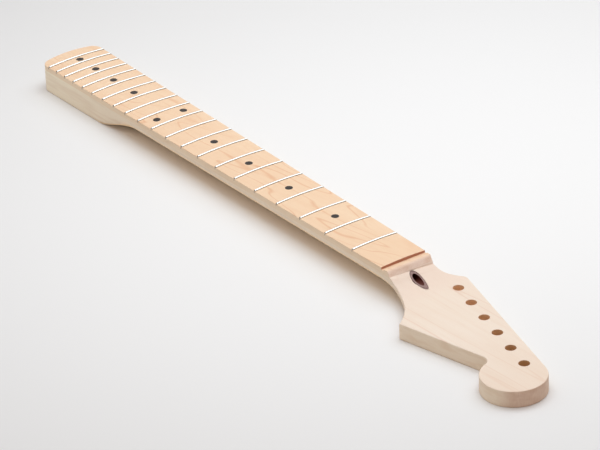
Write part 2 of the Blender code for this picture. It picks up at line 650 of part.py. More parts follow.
# Truss rod
def make_truss_rod(steel, brass, walnut):
    block_start = ROD_HEEL_END
    head_block_start = ROD_END - BLOCK_LENGTH

    bm = bmesh.new()
    rod_into(bm, (0, 0, 0), (ROD_END - ROD_HEEL_END, 0, 0), ROD_DIAMETER / 2, SMALL_SIDES)
    rod = object_from("truss_rod", bm, PARTS, steel)
    rod.location = (ROD_HEEL_END, 0, ROD_AXIS_HEIGHT)

    bm = bmesh.new()
    rod_into(bm, (0, 0, 0), (ADJUSTER_LENGTH, 0, 0), ADJUSTER_DIAMETER / 2, ROUND_SIDES)
    adjuster = object_from("truss_adjuster", bm, PARTS, steel)
    adjuster.location = (ADJUSTER_BACK, 0, ROD_AXIS_HEIGHT)
    bm = bmesh.new()
    hex_radius = ADJUSTER_HEX_ACROSS / 2 / cos(pi / 6)
    rod_into(bm, (ADJUSTER_FACE - ADJUSTER_HEX_DEPTH, 0, ROD_AXIS_HEIGHT),
             (ADJUSTER_FACE + CUT_OVERRUN, 0, ROD_AXIS_HEIGHT), hex_radius, 6)
    boolean(adjuster, object_from("hex_socket_cutter", bm, CUTTERS))

    bar_low = BAR_BOTTOM
    bar_high = BAR_BOTTOM + BAR_THICKNESS
    bm = bmesh.new()
    box_into(bm, (block_start + BLOCK_LENGTH + FIT_GAP, -BAR_WIDTH / 2, bar_low),
             (head_block_start - FIT_GAP, BAR_WIDTH / 2, bar_high))
    object_from("truss_flat_bar", bm, PARTS, steel)

    for name, start in (("truss_block_heel", block_start), ("truss_block_head", head_block_start)):
        bm = bmesh.new()
        box_into(bm, (start, -BAR_WIDTH / 2, CHANNEL_FLOOR + BLOCK_SEAT_GAP),
                 (start + BLOCK_LENGTH - FIT_GAP, BAR_WIDTH / 2, bar_high))
        block = object_from(name, bm, PARTS, brass)
        bm = bmesh.new()
        rod_into(bm, (start - CUT_OVERRUN, 0, ROD_AXIS_HEIGHT),
                 (start + BLOCK_LENGTH + CUT_OVERRUN, 0, ROD_AXIS_HEIGHT),
                 ROD_DIAMETER / 2 + FIT_GAP, SMALL_SIDES)
        boolean(block, object_from(f"{name}_bore_cutter", bm, CUTTERS))

    bm = bmesh.new()
    rod_into(bm, truss_axis(PLUG_FROM_ADJUSTER), truss_axis(PLUG_LENGTH), PLUG_DIAMETER / 2, ROUND_SIDES)
    plug = object_from("truss_plug", bm, PARTS, walnut)
    bm = bmesh.new()
    rod_into(bm, truss_axis(-CUT_OVERRUN), truss_axis(PLUG_LENGTH + CUT_OVERRUN),
             PLUG_BORE / 2, ROUND_SIDES)
    boolean(plug, object_from("plug_bore_cutter", bm, CUTTERS))
    boolean(plug, scoop_cutter())


def scoop_cutter():
    """The space above the scoop, which trims the plug flush with the wood."""
    half = NUT_WIDTH
    places = spread(RAMP_START, RAMP_END, RAMP_STEPS) + [RAMP_END + 2 * RAMP_RUN]
    ceiling = NECK_HEIGHT + CUT_OVERRUN
    rings = []
    for x in places:
        rings.append([Vector((x, -half, ramp_height(x, -half))), Vector((x, half, ramp_height(x, half))),
                      Vector((x, half, ceiling)), Vector((x, -half, ceiling))])
    return loft("scoop_cutter", rings, CUTTERS)


clear_scene()
PARTS = collection("guitar_neck")
CUTTERS = collection("cutters")
MAPLE = finish("maple", (0.86, 0.70, 0.52), 0.45)
BOARD_MAPLE = finish("board_maple", (0.88, 0.66, 0.42), 0.4)
FRET_WIRE = finish("fret_wire", (0.80, 0.79, 0.76), 0.22, 1.0)
DOT_PLASTIC = finish("dot_plastic", (0.05, 0.05, 0.055), 0.35)
STEEL = finish("rod_steel", (0.42, 0.42, 0.43), 0.4, 1.0)
BRASS = finish("block_brass", (0.70, 0.55, 0.28), 0.4, 1.0)
WALNUT = finish("walnut", (0.16, 0.09, 0.06), 0.6)

make_neck(MAPLE)
make_board(BOARD_MAPLE)
for fret_number in range(1, FRET_COUNT + 1):
    make_fret(fret_number, FRET_WIRE)
make_dots(DOT_PLASTIC)
make_truss_rod(STEEL, BRASS, WALNUT)
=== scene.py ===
import json
from math import asin, atan, atan2, cos, hypot, pi, radians, sin, sqrt

import bmesh
import bpy
from mathutils import Matrix, Vector


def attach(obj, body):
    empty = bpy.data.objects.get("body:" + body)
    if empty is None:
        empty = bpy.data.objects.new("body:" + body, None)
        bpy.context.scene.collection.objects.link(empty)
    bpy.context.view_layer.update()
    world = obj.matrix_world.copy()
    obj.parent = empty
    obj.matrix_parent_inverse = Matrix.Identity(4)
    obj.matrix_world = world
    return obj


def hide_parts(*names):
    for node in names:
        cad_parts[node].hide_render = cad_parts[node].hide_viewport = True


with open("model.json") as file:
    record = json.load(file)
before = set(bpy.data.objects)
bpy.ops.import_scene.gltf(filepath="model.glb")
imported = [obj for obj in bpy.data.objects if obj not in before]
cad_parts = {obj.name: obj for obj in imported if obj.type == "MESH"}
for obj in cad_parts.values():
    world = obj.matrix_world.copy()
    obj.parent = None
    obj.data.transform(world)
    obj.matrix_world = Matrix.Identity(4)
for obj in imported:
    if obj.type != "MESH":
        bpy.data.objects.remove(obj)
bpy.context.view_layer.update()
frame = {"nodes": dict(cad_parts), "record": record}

mm = 0.001
scene = bpy.context.scene
print("frame loaded:", len(frame["nodes"]), "nodes")


# small helpers for working by hand

def deselectAll():
    if bpy.context.mode != "OBJECT":
        bpy.ops.object.mode_set(mode="OBJECT")
    bpy.ops.object.select_all(action="DESELECT")


def workOn(piece):
    deselectAll()
    piece.select_set(True)
    bpy.context.view_layer.objects.active = piece


def editMesh(piece, mode="VERT"):
    workOn(piece)
    bpy.ops.object.mode_set(mode="EDIT")
    bpy.ops.mesh.select_mode(type=mode)
    bpy.ops.mesh.select_all(action="DESELECT")


def endEdit():
    bpy.ops.object.mode_set(mode="OBJECT")


def pick(piece, part, test):
    # selects the verts, edges or faces that pass the test, in edit mode
    mesh = bmesh.from_edit_mesh(piece.data)
    found = 0
    for item in getattr(mesh, part):
        if test(item):
            item.select_set(True)
            found += 1
    bmesh.update_edit_mesh(piece.data)
    return found


def tidyMesh(piece):
    # merge doubles, then turn all faces outwards
    editMesh(piece)
    bpy.ops.mesh.select_all(action="SELECT")
    bpy.ops.mesh.remove_doubles(threshold=0.002 * mm)
    bpy.ops.mesh.normals_make_consistent(inside=False)
    endEdit()


def settle(piece, name):
    # place, turn and size go into the mesh, so the object sits at the origin
    piece.name = name
    piece.data.name = name
    workOn(piece)
    bpy.ops.object.transform_apply(location=True, rotation=True, scale=True)
    return piece


def applyAll(piece):
    workOn(piece)
    for modifier in list(piece.modifiers):
        bpy.ops.object.modifier_apply(modifier=modifier.name)


def cutWith(piece, tool, operation="DIFFERENCE"):
    modifier = piece.modifiers.new("cut", "BOOLEAN")
    modifier.operation = operation
    modifier.solver = "EXACT"
    modifier.object = tool
    applyAll(piece)
    bpy.data.objects.remove(tool, do_unlink=True)


def smooth(piece, angle=35):
    # large flat faces keep their own normals, so that rounded edges shade evenly
    workOn(piece)
    bpy.ops.object.shade_smooth_by_angle(angle=radians(angle))
    weighted = piece.modifiers.new("weighted", "WEIGHTED_NORMAL")
    weighted.keep_sharp = True
    applyAll(piece)


def addBox(low, high):
    deselectAll()
    middle = [(a + b) / 2 for a, b in zip(low, high)]
    bpy.ops.mesh.primitive_cube_add(size=1, location=middle)
    box = bpy.context.object
    box.scale = [b - a for a, b in zip(low, high)]
    return settle(box, "box")


def addRod(start, end, radius, sides):
    deselectAll()
    start, end = Vector(start), Vector(end)
    turn = (end - start).normalized().to_track_quat("Z", "Y").to_euler()
    bpy.ops.mesh.primitive_cylinder_add(vertices=sides, radius=radius, depth=(end - start).length,
                                        location=(start + end) / 2, rotation=turn)
    return settle(bpy.context.object, "rod")


def copyOf(piece, name):
    twin = bpy.data.objects.new(name, piece.data.copy())
    twin.data.name = name
    scene.collection.objects.link(twin)
    return twin


def handOver(piece, body, slot, material, *nodes):
    piece.data.materials.clear()
    piece.data.materials.append(material)
    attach(piece, body)
    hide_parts(*nodes)


# shader sums: a Wire is a socket, and 1 - wire, wire * 0.2 and the like add their Math nodes

def linear(colour):
    # a colour as seen on screen, 0 to 255, as the shader wants it
    parts = []
    for part in colour:
        part /= 255
        parts.append(part / 12.92 if part <= 0.04045 else ((part + 0.055) / 1.055) ** 2.4)
    return (*parts, 1.0)


class Wire:
    def __init__(self, tree, socket=None):
        self.tree = tree
        self.socket = socket

    def add(self, kind, settings=None, inputs=None, output=0):
        node = self.tree.nodes.new(kind)
        for name, value in (settings or {}).items():
            if name == "stops":
                ramp = node.color_ramp
                while len(ramp.elements) < len(value):
                    ramp.elements.new(1.0)
                for element, (place, colour) in zip(ramp.elements, value):
                    element.position = place
                    element.color = colour
            else:
                setattr(node, name, value)
        for name, value in (inputs or {}).items():
            if isinstance(value, Wire):
                self.tree.links.new(value.socket, node.inputs[name])
            else:
                node.inputs[name].default_value = value
        return Wire(self.tree, node.outputs[output])

    def maths(self, operation, first, second=0.0):
        return self.add("ShaderNodeMath", {"operation": operation}, {0: first, 1: second})

    def __add__(self, other):
        return self.maths("ADD", self, other)

    def __sub__(self, other):
        return self.maths("SUBTRACT", self, other)

    def __rsub__(self, other):
        return self.maths("SUBTRACT", other, self)

    def __mul__(self, other):
        return self.maths("MULTIPLY", self, other)

    def __truediv__(self, other):
        return self.maths("DIVIDE", self, other)

    def __rtruediv__(self, other):
        return self.maths("DIVIDE", other, self)

    __radd__ = __add__
    __rmul__ = __mul__

    def mix(self, low, high):
        # a colour between two, by this value; the Mix node's colour sockets are 6, 7 and 2
        return self.add("ShaderNodeMix", {"data_type": "RGBA"}, {0: self, 6: low, 7: high}, output=2)

    def between(self, low, high):
        # 0 below low, 1 above high, smooth between
        return self.add("ShaderNodeMapRange", {"interpolation_type": "SMOOTHSTEP"},
                        {"Value": self, "From Min": low, "From Max": high})


def newMaterial(name):
    material = bpy.data.materials.new(name)
    material.use_nodes = True
    tree = material.node_tree
    return material, tree.nodes["Principled BSDF"], Wire(tree)


def link(shader, name, value):
    if isinstance(value, Wire):
        value.tree.links.new(value.socket, shader.inputs[name])
    else:
        shader.inputs[name].default_value = value


def bump(wire, height, strength, distance):
    return wire.add("ShaderNodeBump", None, {"Height": height, "Strength": strength, "Distance": distance})


# camera and light

cameraLook = {
    "place": (2.4495, -1.5066, 1.4280),
    "azimuth": 55.058,
    "elevation": 28.546,
    "roll": -2.366,
    "lens": 227.62,
    "sensor": 36.0,
}


def makeCamera():
    data = bpy.data.cameras.new("viewCamera")
    data.lens = cameraLook["lens"]
    data.sensor_width = cameraLook["sensor"]
    data.clip_end = 50
    camera = bpy.data.objects.new("viewCamera", data)
    scene.collection.objects.link(camera)
    turn = Matrix.Rotation(radians(cameraLook["azimuth"]), 4, "Z")
    tip = Matrix.Rotation(radians(90 - cameraLook["elevation"]), 4, "X")
    roll = Matrix.Rotation(radians(cameraLook["roll"]), 4, "Z")
    camera.matrix_world = Matrix.Translation(cameraLook["place"]) @ turn @ tip @ roll
    scene.camera = camera


light = {
    "ambient": (0.435, 0.372, 0.332),     # warm fill, which tints the shadows
    "shine": (1, 1, 1),                   # what the camera and the metal see of the studio
    "lampColour": (0.863, 0.952, 1.0),
    "aim": (0.30, 0.08, 0),               # the lamps face this spot
    "reach": 1.5,                         # and stand this far from it
    "size": 1.24,
    "lamps": {                            # name: the way to it, and its watts
        "topBox": ((0, 0.01, 1), 10.5),
        "backBox": ((0, 0.5, 0.866), 5.85),
        "frontBox": ((-0.433, -0.25, 0.866), 2.2),
    },
}
paper = {
    "size": 14,
    "middle": (0.3, 0, -0.02 * mm),
    "colour": (247, 247, 248),
    "bright": (0.345, 0.134, 0),          # painted light: the paper's colour darkens away from here, a painted falloff standing in for the lamps' pool of light
    "fade": 0.6,
    "fadeEnd": 0.9,
    "farGlow": (0.58, 0.63, 0.66),        # keeps the far paper pale, for the camera only
    "glowRange": (0.56, 1.2),
}


def makeLamp(name, way, power):
    data = bpy.data.lights.new(name, "AREA")
    data.shape = "DISK"
    data.size = light["size"]
    data.energy = power
    data.color = light["lampColour"]
    lamp = bpy.data.objects.new(name, data)
    scene.collection.objects.link(lamp)
    way = Vector(way).normalized()
    lamp.location = Vector(light["aim"]) + way * light["reach"]
    lamp.rotation_euler = (-way).to_track_quat("-Z", "Y").to_euler()


def makeStudio():
    scene.view_settings.view_transform = "Standard"
    world = bpy.data.worlds.new("studio")
    scene.world = world
    world.use_nodes = True
    wire = Wire(world.node_tree)
    camera = wire.add("ShaderNodeLightPath", output="Is Camera Ray")
    glossy = wire.add("ShaderNodeLightPath", output="Is Glossy Ray")
    tint = wire.maths("MAXIMUM", camera, glossy).mix((*light["ambient"], 1), (*light["shine"], 1))
    background = world.node_tree.nodes["Background"]
    link(background, "Color", tint)
    link(background, "Strength", 1.0)
    for name, (way, power) in light["lamps"].items():
        makeLamp(name, way, power)


def makeFloor():
    deselectAll()
    bpy.ops.mesh.primitive_plane_add(size=paper["size"], location=paper["middle"])
    floor = settle(bpy.context.object, "floor")
    material, shader, wire = newMaterial("paper")
    place = wire.add("ShaderNodeTexCoord", output="Object")
    away = wire.add("ShaderNodeVectorMath", {"operation": "DISTANCE"}, {0: place, 1: paper["bright"]}, "Value")
    near = wire.maths("MINIMUM", away, paper["fadeEnd"])
    # painted light falloff: the paper's base colour dims with distance from the lit middle, out to the falloff's end
    fade = 1 / (near * near * paper["fade"] + 1)
    link(shader, "Base Color", fade.mix((0, 0, 0, 1), linear(paper["colour"])))
    glow = away.between(*paper["glowRange"]) * wire.add("ShaderNodeLightPath", output="Is Camera Ray")
    link(shader, "Emission Color", glow.mix((0, 0, 0, 1), (*paper["farGlow"], 1)))
    link(shader, "Emission Strength", 1.0)
    link(shader, "Roughness", 0.9)
    link(shader, "Specular IOR Level", 0.1)
    floor.data.materials.append(material)


makeCamera()
makeStudio()
makeFloor()
print("camera and studio ready")


# maple

woodMarks = {                                 # where the tone changes, from and to along X
    "heel": (-40 * mm, 120 * mm),
    "slot": (428.14 * mm, 431.44 * mm),       # the nut slot
    "wallFoot": (434 * mm, 440 * mm),         # below the leaning end wall
    "ramp": (438 * mm, 470 * mm),             # the scoop behind the nut
    "headEnd": (520 * mm, 620 * mm),
    "holes": (470 * mm, 610 * mm),
    "firstHole": (475.04 * mm, 16.4 * mm),    # its middle
    "holeStep": 24.5 * mm,
    "holeLine": radians(15.2),
    "holeWall": (4.45 * mm, 4.6 * mm),
    "glue": 19.5 * mm,                        # the fingerboard's underside
    "slotFloor": 22.5 * mm,
}


def mapleWood(name, look):
    # long soft streaks along X, thin slanted growth lines in patches, pores and small flecks
    material, shader, wire = newMaterial(name)
    place = wire.add("ShaderNodeTexCoord", output="Object")
    normal = wire.add("ShaderNodeTexCoord", output="Normal")

    def axes(socket):
        split = wire.add("ShaderNodeSeparateXYZ", None, {0: socket})
        return [Wire(wire.tree, output) for output in split.socket.node.outputs]

    def noise(scale, length, detail=3.0, offset=(0, 0, 0), turn=0.0):
        spot = wire.add("ShaderNodeMapping", {"vector_type": "TEXTURE"},
                        {"Vector": place, "Location": offset, "Rotation": (0, 0, turn), "Scale": length})
        return wire.add("ShaderNodeTexNoise", None, {"Vector": spot, "Scale": scale, "Detail": detail})

    x, y, z = axes(place)
    ahead, _, up = axes(normal)
    nx, nz = wire.maths("ABSOLUTE", ahead), wire.maths("ABSOLUTE", up)
    turn = look["figureTurn"]
    broad = noise(30, (5, 1, 1), 2, (0, 0, 0), turn)
    streak = noise(170, (22, 1, 1), 3, (0, 0, 0), turn)
    fine = noise(650, (30, 1, 1), 2, (3, 1, 2))
    fleck = noise(900, (6, 1, 1), 2, (7, 2, 5))

    # growth lines: contours of a slow field, as where a saw cuts across the rings
    slow = noise(look["figureScale"], (look["figureLength"], 1, 2), 1.5, look["figureShift"], turn)
    ring = wire.maths("FRACT", slow * look["figureCount"])
    lines = (wire.maths("ABSOLUTE", ring - 0.5) * 2).between(0.84, 1.0)
    patch = noise(22, (3, 1, 1), 1, look["patchShift"]).between(0.45, 0.60)
    lines = lines * patch
    blush = noise(55, (2.5, 1, 1), 2, look["patchShift"], turn).between(0.56, 0.72)

    colour = broad.between(0.35, 0.65).mix(linear(look["light"]), linear(look["dark"]))
    colour = (streak.between(0.4, 0.75) * look["streaks"]).mix(colour, linear(look["deep"]))
    colour = (blush * look["blush"]).mix(colour, linear(look["line"]))
    colour = (lines * look["lines"]).mix(colour, linear(look["line"]))
    colour = (fine.between(0.5, 0.75) * look["fine"]).mix(colour, linear(look["deep"]))
    colour = (fleck.between(0.62, 0.72) * look["flecks"]).mix(colour, linear(look["line"]))

    # the scoop behind the nut is pinker: painted light, standing in for light bounced off the end wall; the strip
    # behind the nut slot is pinker too, and the far end of the headstock is duller: painted shade, where the light
    # falls off
    start, end = woodMarks["ramp"]
    scoop = x.between(start - 3 * mm, start) * (1 - x.between(end - 12 * mm, end + 8 * mm))
    colour = (scoop * 0.6).mix(colour, linear(look["pink"]))
    low, high = woodMarks["slot"]
    glue = woodMarks["glue"]
    strip = x.between(high + 0.5 * mm, high + 4 * mm) * z.between(glue - 0.5 * mm, glue + 0.5 * mm)
    colour = (strip * 0.7).mix(colour, linear(look["pink"]))
    # painted shade: the headstock's far end is mixed toward the deep tone, where the light falls off
    colour = (x.between(*woodMarks["headEnd"]) * 0.5).mix(colour, linear(look["deep"]))

    # the sides are tanner than the faces, and the back is tanner still; the sides are paler toward the heel, with fewer
    # dark streaks there: painted light, as more light falls on the heel end; the shaft's downward flank gets painted
    # warm bounce light
    grain = noise(240, (12, 1, 1), 2, (1, 4, 0)).between(0.42, 0.7)
    # painted light: the side colour and its dark streaks lighten toward the heel
    heel = 1 - x.between(*woodMarks["heel"])
    flank = heel.mix(linear(look["side"]), linear(look["sideHeel"]))
    flank = (grain * (1 - heel * 0.6)).mix(flank, linear(look["sideDark"]))
    colour = ((1 - nz.between(0.25, 0.7)) * 0.85).mix(colour, flank)
    # painted bounce light: the shaft's downward-facing flank below the board is tinted warm orange, standing in for
    # warm light bounced into the shade under the shaft
    under = (0 - up).between(0.35, 0.7) * (1 - z.between(14 * mm, 19 * mm))
    colour = under.mix(colour, linear(look["under"]))
    below = nz.between(0.2, 0.8) * (1 - z.between(1 * mm, 9 * mm))
    colour = below.mix(colour, linear(look["back"]))

    # end grain, where the surface faces along the neck: slanted bands and pores, paler at the heel
    bands = noise(90, (1, 1, 0.45), 2, (0, 0, 0), radians(35)).between(0.4, 0.65)
    pores = noise(1500, (1, 1, 8), 2)
    endTone = (bands * 0.6 + pores.between(0.4, 0.7) * 0.4).mix(linear(look["end"]), linear(look["endDark"]))
    # painted light: the wall's foot, below the glue line, is paled toward the foot colour, lifting a wedge that renders
    # darker because it faces away from the light
    start, end = woodMarks["wallFoot"]
    foot = x.between(start - 2 * mm, start) * (1 - x.between(end, end + 4 * mm))
    foot = foot * (1 - z.between(glue - 0.1 * mm, glue + 0.1 * mm))
    endTone = foot.mix(endTone, linear(look["foot"]))
    ends = nx.between(0.25, 0.9) * (x.between(0, 400 * mm) * 0.5 + 0.5)
    colour = (ends * look["endGrain"]).mix(colour, endTone)

    # the walls of the tuner holes are browner, darker toward the headstock's end; the nut slot's wall gets painted
    # shade, a deep brown for the shade in the narrow slot
    spotX, spotY = x - woodMarks["firstHole"][0], y - woodMarks["firstHole"][1]
    line = woodMarks["holeLine"]
    along = (spotX * cos(line) - spotY * sin(line)) / woodMarks["holeStep"]
    across = spotX * sin(line) + spotY * cos(line)
    along = (wire.maths("FRACT", along + 0.5) - 0.5) * woodMarks["holeStep"]
    reach = wire.maths("SQRT", along * along + across * across)
    start, end = woodMarks["holes"]
    bore = (1 - reach.between(*woodMarks["holeWall"])) * x.between(start - 1 * mm, start)
    slot = x.between(low - 0.06 * mm, low - 0.02 * mm) * (1 - x.between(high + 0.02 * mm, high + 0.06 * mm))
    slot = slot * z.between(woodMarks["slotFloor"] - 0.1 * mm, woodMarks["slotFloor"])
    walls = 1 - nz.between(0.5, 0.8)
    bored = x.between(start, end).mix(linear(look["hole"]), linear(look["holeFar"]))
    colour = (bore * walls).mix(colour, bored)
    # painted shade: the nut slot's wall is mixed to a deep brown
    colour = (slot * walls).mix(colour, linear(look["slotWall"]))

    link(shader, "Base Color", colour)
    link(shader, "Roughness", 0.46 + fine * 0.14)
    link(shader, "Normal", bump(wire, fine * 0.5 + streak * 0.3 + pores * 0.2, 0.12, 0.1 * mm))
    link(shader, "Specular IOR Level", 0.25)
    return material


bothLook = {
    "under": (255, 224, 180), "back": (236, 208, 172), "foot": (252, 232, 218),
    "hole": (246, 208, 172), "holeFar": (218, 178, 134), "slotWall": (200, 140, 115),
    "figureScale": 34, "figureCount": 9,
}
boardLook = {
    **bothLook,
    "light": (246, 216, 185), "dark": (244, 211, 179), "deep": (238, 200, 165), "line": (228, 174, 134),
    "pink": (238, 208, 188), "side": (239, 219, 192), "sideHeel": (247, 227, 199), "sideDark": (231, 209, 180),
    "end": (248, 225, 211), "endDark": (233, 200, 179), "endGrain": 1.0,
    "streaks": 0.35, "lines": 0.6, "blush": 0.22, "fine": 0.2, "flecks": 0.12,
    "figureLength": 7, "figureShift": (0.4, 0.2, 0), "figureTurn": radians(9), "patchShift": (0.05, 0.02, 0),
}
neckLook = {
    **bothLook,
    "light": (246, 232, 218), "dark": (243, 226, 210), "deep": (236, 212, 192), "line": (229, 194, 172),
    "pink": (240, 218, 203), "side": (240, 223, 199), "sideHeel": (255, 244, 219), "sideDark": (232, 211, 184),
    "end": (217, 188, 168), "endDark": (201, 165, 142), "endGrain": 0.9,
    "streaks": 0.3, "lines": 0.5, "blush": 0.12, "fine": 0.18, "flecks": 0.10,
    "figureLength": 15, "figureShift": (0.1, 0.7, 0), "figureTurn": radians(4), "patchShift": (0.31, 0.08, 0),
}


def plainMaterial(name, colour, roughness, metallic=0.0, marks=0.12, size=300, edge=None, specular=0.5):
    # one finish with faint handling marks; an edge colour darkens what faces along the neck or outwards: painted
    # reflection, standing in for the dark surroundings that a metal crown's sides reflect
    material, shader, wire = newMaterial(name)
    place = wire.add("ShaderNodeTexCoord", output="Object")
    cloud = wire.add("ShaderNodeTexNoise", None, {"Vector": place, "Scale": size, "Detail": 4})
    darker = tuple(part * 0.8 for part in colour)
    tone = (cloud * marks).mix(linear(colour), linear(darker))
    if edge:
        normal = wire.add("ShaderNodeTexCoord", output="Normal")
        up = wire.add("ShaderNodeVectorMath", {"operation": "DOT_PRODUCT"}, {0: normal, 1: (0.28, 0, 1)}, "Value")
        # painted reflection: surfaces tilted away from straight up take the edge colour
        tone = up.between(0.78, 0.96).mix(linear(edge), tone)
    link(shader, "Base Color", tone)
    link(shader, "Roughness", cloud * 0.12 + (roughness - 0.06))
    link(shader, "Metallic", metallic)
    link(shader, "Specular IOR Level", specular)
    link(shader, "Normal", bump(wire, cloud, 0.05, 0.05 * mm))
    return material


boardMaple = mapleWood("boardMaple", boardLook)
neckMaple = mapleWood("neckMaple", neckLook)
# the frets' edge colour is painted reflection, darkening the crown's sides
fretMetal = plainMaterial("fretMetal", (230, 227, 222), 0.3, 1.0, edge=(132, 120, 110))
dotPlastic = plainMaterial("dotPlastic", (42, 34, 31), 0.38, specular=0.2)
rodSteel = plainMaterial("rodSteel", (120, 118, 118), 0.4, 1.0)
blockBrass = plainMaterial("blockBrass", (190, 160, 98), 0.4, 1.0)
print("materials made")


# the access bore for the truss rod, shared by the neck and its wooden bush

plug = {
    "start": (430.14 * mm, 0, 12.5 * mm),     # the bore leaves the rod's adjuster here
    "angle": radians(9.8),                    # and rises, and turns a little aside
    "turn": radians(-4.5),
    "from": 1.15 * mm,                        # the bush, along the bore
    "length": 36 * mm,
    "outer": 4.38 * mm,                       # radii of the bush, its bore and its hole in the neck
    "bore": 2.85 * mm,
    "hole": 4.7 * mm,
    "scoopEnd": 463.2 * mm,                   # the round scoop that cuts it off
    "scoopRadius": 59.57 * mm,
    "scoopRoll": 0.024,
    "scoopHalf": 30 * mm,
    "headFace": 13.5 * mm,
    "wood": (158, 132, 127),
    "woodDark": (130, 102, 98),
    "inside": (78, 30, 21),
}


def plugLine():
    level = cos(plug["angle"])
    along = Vector((level * cos(plug["turn"]), level * sin(plug["turn"]), sin(plug["angle"])))
    return Vector(plug["start"]), along


def bushWood():
    # mauve-brown wood, with painted shade inside the bore: a dark red that stands in for the shade down the narrow hole
    material, shader, wire = newMaterial("plugWalnut")
    start, along = plugLine()
    place = wire.add("ShaderNodeTexCoord", output="Object")
    pores = wire.add("ShaderNodeTexNoise", None, {"Vector": place, "Scale": 900, "Detail": 3})
    away = wire.add("ShaderNodeVectorMath", {"operation": "SUBTRACT"}, {0: place, 1: start})
    reach = wire.add("ShaderNodeVectorMath", {"operation": "DOT_PRODUCT"}, {0: away, 1: along}, "Value")
    shift = wire.add("ShaderNodeVectorMath", {"operation": "SCALE"}, {0: along, "Scale": reach})
    apart = wire.add("ShaderNodeVectorMath", {"operation": "SUBTRACT"}, {0: away, 1: shift})
    radius = wire.add("ShaderNodeVectorMath", {"operation": "LENGTH"}, {0: apart}, "Value")
    ring = pores.between(0.35, 0.7).mix(linear(plug["wood"]), linear(plug["woodDark"]))
    rim = radius.between(plug["outer"] - 0.38 * mm, plug["outer"] - 0.08 * mm) * 0.5
    ring = rim.mix(ring, linear(plug["woodDark"]))
    # painted shade: the bore's wall is dark red
    inside = 1 - radius.between(plug["bore"] + 0.05 * mm, plug["bore"] + 0.2 * mm)
    link(shader, "Base Color", inside.mix(ring, linear(plug["inside"])))
    link(shader, "Roughness", 0.55 + pores * 0.1)
    link(shader, "Specular IOR Level", 0.25)
    link(shader, "Normal", bump(wire, pores, 0.08, 0.05 * mm))
    return material


plugWalnut = bushWood()


# neck

neckShape = {
    "edge": 0.8 * mm,                         # rounding of the outer edges
    "holeEdge": 0.2 * mm,                     # rounding of the tuner holes' and screw holes' rims
    "headFrom": 438.0 * mm,                   # where the headstock's top edge starts, at the end wall's foot
    "bore": (436 * mm, 465 * mm, 6 * mm),     # the access bore's mouth: from, to and half its width
    "tuners": 6,
    "tunerReach": 5 * mm,                     # a little more than a hole's radius
    "screw": (25.4 * mm, 19.05 * mm),
    "screwReach": 2 * mm,
}


def isHole(point):
    for hole in frame["record"]["physics"]["openings"][:neckShape["tuners"]]:
        low, high = hole["box_m"]
        if hypot(point.x - (low[0] + high[0]) / 2, point.y - (low[1] + high[1]) / 2) < neckShape["tunerReach"]:
            return True
    x, y = neckShape["screw"]
    return hypot(abs(point.x) - x, abs(point.y) - y) < neckShape["screwReach"]


def isBoreRim(edge):
    # the edge round the access bore, where the scoop meets the bore's wall
    start, along = plugLine()
    for vert in edge.verts:
        away = vert.co - start
        if vert.co.z < 13 * mm or abs((away - along * away.dot(along)).length - plug["hole"]) > 0.06 * mm:
            return False
    return max(face.normal.z for face in edge.link_faces) > 0.7 and vert.co.x < neckShape["bore"][1]


def makeNeck():
    piece = copyOf(frame["nodes"]["neck"], "neckWood")
    editMesh(piece)
    bpy.ops.mesh.select_all(action="SELECT")
    bpy.ops.mesh.remove_doubles(threshold=0.002 * mm)
    bpy.ops.mesh.dissolve_limited(angle_limit=radians(0.3))
    endEdit()

    def isRim(edge):
        return len(edge.link_faces) == 2 and edge.calc_face_angle(0) > radians(48)

    def isOuter(edge):
        first, second = (vert.co for vert in edge.verts)
        middle = (first + second) / 2
        if not isRim(edge) or isHole(middle):
            return False
        start, end, half = neckShape["bore"]
        if start < middle.x < end and abs(middle.y) < half:
            return False
        flat = abs(first.z - second.z) < 1.2 * mm
        return middle.z < 0.02 * mm or (flat and middle.x > neckShape["headFrom"])

    def isHoleRim(edge):
        # round the mouth of a hole, not down in it
        first, second = (vert.co for vert in edge.verts)
        if not isRim(edge) or not isHole((first + second) / 2):
            return False
        return abs(first.z - second.z) < 0.01 * mm and not 1 * mm < first.z < 13 * mm

    editMesh(piece, "EDGE")
    print("  outer edges", pick(piece, "edges", isOuter))
    bpy.ops.mesh.bevel(offset=neckShape["edge"], segments=3, affect="EDGES", clamp_overlap=False)
    bpy.ops.mesh.select_all(action="DESELECT")
    print("  hole rims", pick(piece, "edges", isHoleRim))
    bpy.ops.mesh.bevel(offset=neckShape["holeEdge"], segments=2, affect="EDGES", clamp_overlap=True)
    bpy.ops.mesh.select_all(action="DESELECT")
    print("  bore rim", pick(piece, "edges", isBoreRim))
    bpy.ops.mesh.mark_sharp()
    endEdit()
    smooth(piece)
    handOver(piece, "neck", "neck_maple", neckMaple, "neck")


makeNeck()
print("neck made")


# fingerboard

board = {
    "nutX": 428.14 * mm,
    "scale": 647.7 * mm,
    "frets": 21,
    "crest": 25.0 * mm,           # heights of its top and its underside
    "glue": 19.5 * mm,
    "radius": 304.8 * mm,
    "nutWidth": 42.0 * mm,
    "lastFretWidth": 55.7 * mm,
    "heelX": -40.56 * mm,
    "endRadius": 120.0 * mm,
    "cornerRadius": 8.0 * mm,
    "slotWidth": 3.3 * mm,
    "slotFloor": 22.5 * mm,
    "stripTop": 23.7 * mm,        # the strip behind the nut slot, and the wall that ends it
    "stripEnd": 434.74 * mm,
    "wallLean": radians(30),
    "edge": 0.45 * mm,            # rounding of the long edges, the wall's top and its corners
    "wallEdge": 1.6 * mm,
    "cornerEdge": 0.9 * mm,
    "over": 30 * mm,              # the cutters reach this far
}


def fretX(number):
    return board["nutX"] - board["scale"] * (1 - 2 ** (-number / 12))


def sideSlope():
    return (board["lastFretWidth"] - board["nutWidth"]) / (board["nutX"] - fretX(board["frets"])) / 2


def sideY(x):
    return board["nutWidth"] / 2 + sideSlope() * (board["nutX"] - x)


def boardZ(y):
    return board["crest"] - board["radius"] + sqrt(board["radius"] ** 2 - y ** 2)


